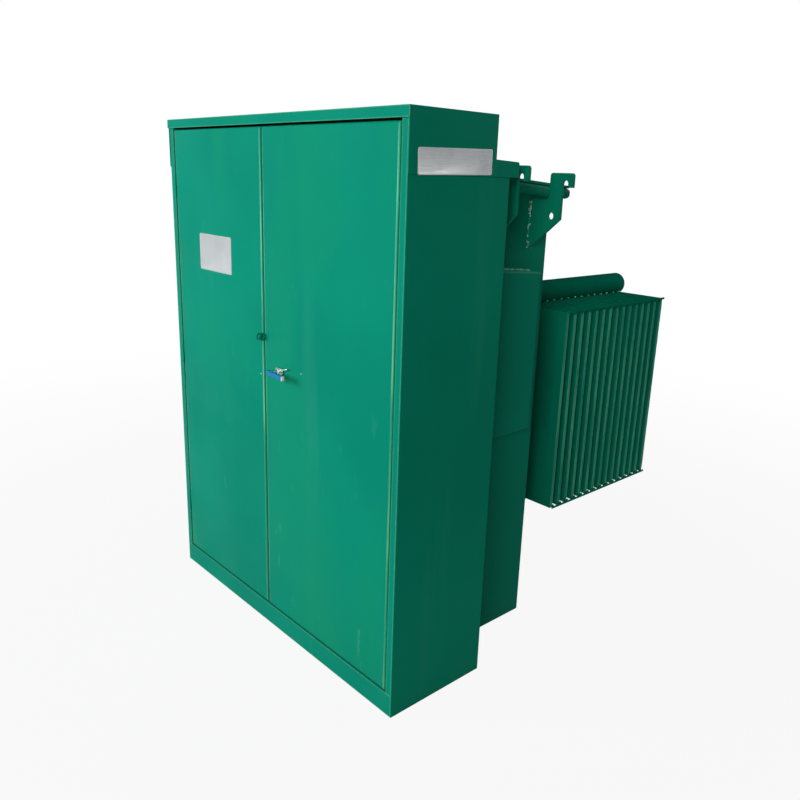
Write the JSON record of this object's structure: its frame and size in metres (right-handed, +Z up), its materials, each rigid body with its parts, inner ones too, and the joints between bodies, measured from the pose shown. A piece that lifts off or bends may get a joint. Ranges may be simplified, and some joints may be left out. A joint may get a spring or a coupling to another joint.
{
  "type": "pad-mounted power transformer",
  "caption": "Oil-filled power transformer with a two-door terminal cabinet in front, hooked lifting lugs on its tank and banks of fluted panel radiators behind.",
  "frame": {"origin": "on the ground under the middle of the tank", "axes": "+Z up, cabinet doors face -Y, +X to the right when facing the doors"},
  "size_m": [1.304, 1.6455, 1.75],
  "materials": {
    "green_enamel": "gloss",
    "hinge_steel": "gloss",
    "bright_chrome": "polished",
    "blue_grip": "gloss",
    "pale_cap": "gloss",
    "bushing_resin": "gloss",
    "tinned_terminal": "satin"
  },
  "bodies": {
    "frame": {"cabinet_back": "green_enamel", "cabinet_side_left": "green_enamel", "cabinet_side_right": "green_enamel", "cabinet_sill": "green_enamel", "door_jamb_left": "green_enamel", "door_jamb_right": "green_enamel", "high_voltage_bushings": "bushing_resin", "hood_lip": "green_enamel", "hood_rear": "green_enamel", "hood_side_left": "green_enamel", "hood_side_right": "green_enamel", "hood_skirt": "green_enamel", "hood_top": "green_enamel", "left_jamb_hinges": "hinge_steel", "left_radiator_bottom_pipe": "green_enamel", "left_radiator_fins": "green_enamel", "left_radiator_top_pipe": "green_enamel", "lifting_lug_front_left": "green_enamel", "lifting_lug_front_right": "green_enamel", "lifting_lug_rear_left": "green_enamel", "lifting_lug_rear_right": "green_enamel", "low_voltage_bushings": "bushing_resin", "low_voltage_terminals": "tinned_terminal", "right_jamb_hinges": "hinge_steel", "right_radiator_bottom_pipe": "green_enamel", "right_radiator_fins": "green_enamel", "right_radiator_top_pipe": "green_enamel", "side_box_left": "green_enamel", "side_box_right": "green_enamel", "tank_body": "green_enamel", "tank_cover": "green_enamel", "tank_rim": "green_enamel"},
    "left_door": {"left_door": "green_enamel", "left_door_hinges": "hinge_steel", "padlock_eye_left": "green_enamel"},
    "right_door": {"right_door": "green_enamel", "right_door_hinges": "hinge_steel", "padlock_eye_right": "green_enamel", "handle_escutcheon": "bright_chrome"},
    "handle": {"handle_spindle": "bright_chrome", "handle_lever": "blue_grip", "handle_end_cap": "pale_cap"}
  },
  "joints": [
    {"name": "right_door_hinge", "type": "hinge", "parent": "frame", "child": "right_door", "pos_m": [0.618, -0.583, 0.8965], "axis": [0, 0, 1], "range_deg": [0, 115]},
    {"name": "left_door_hinge", "type": "hinge", "parent": "frame", "child": "left_door", "pos_m": [-0.618, -0.583, 0.8965], "axis": [0, 0, -1], "range_deg": [0, 115]},
    {"name": "handle_turn", "type": "hinge", "parent": "right_door", "child": "handle", "pos_m": [0.062, -0.605, 0.96198], "axis": [0, 1, 0], "range_deg": [0, 90]}
  ]
}
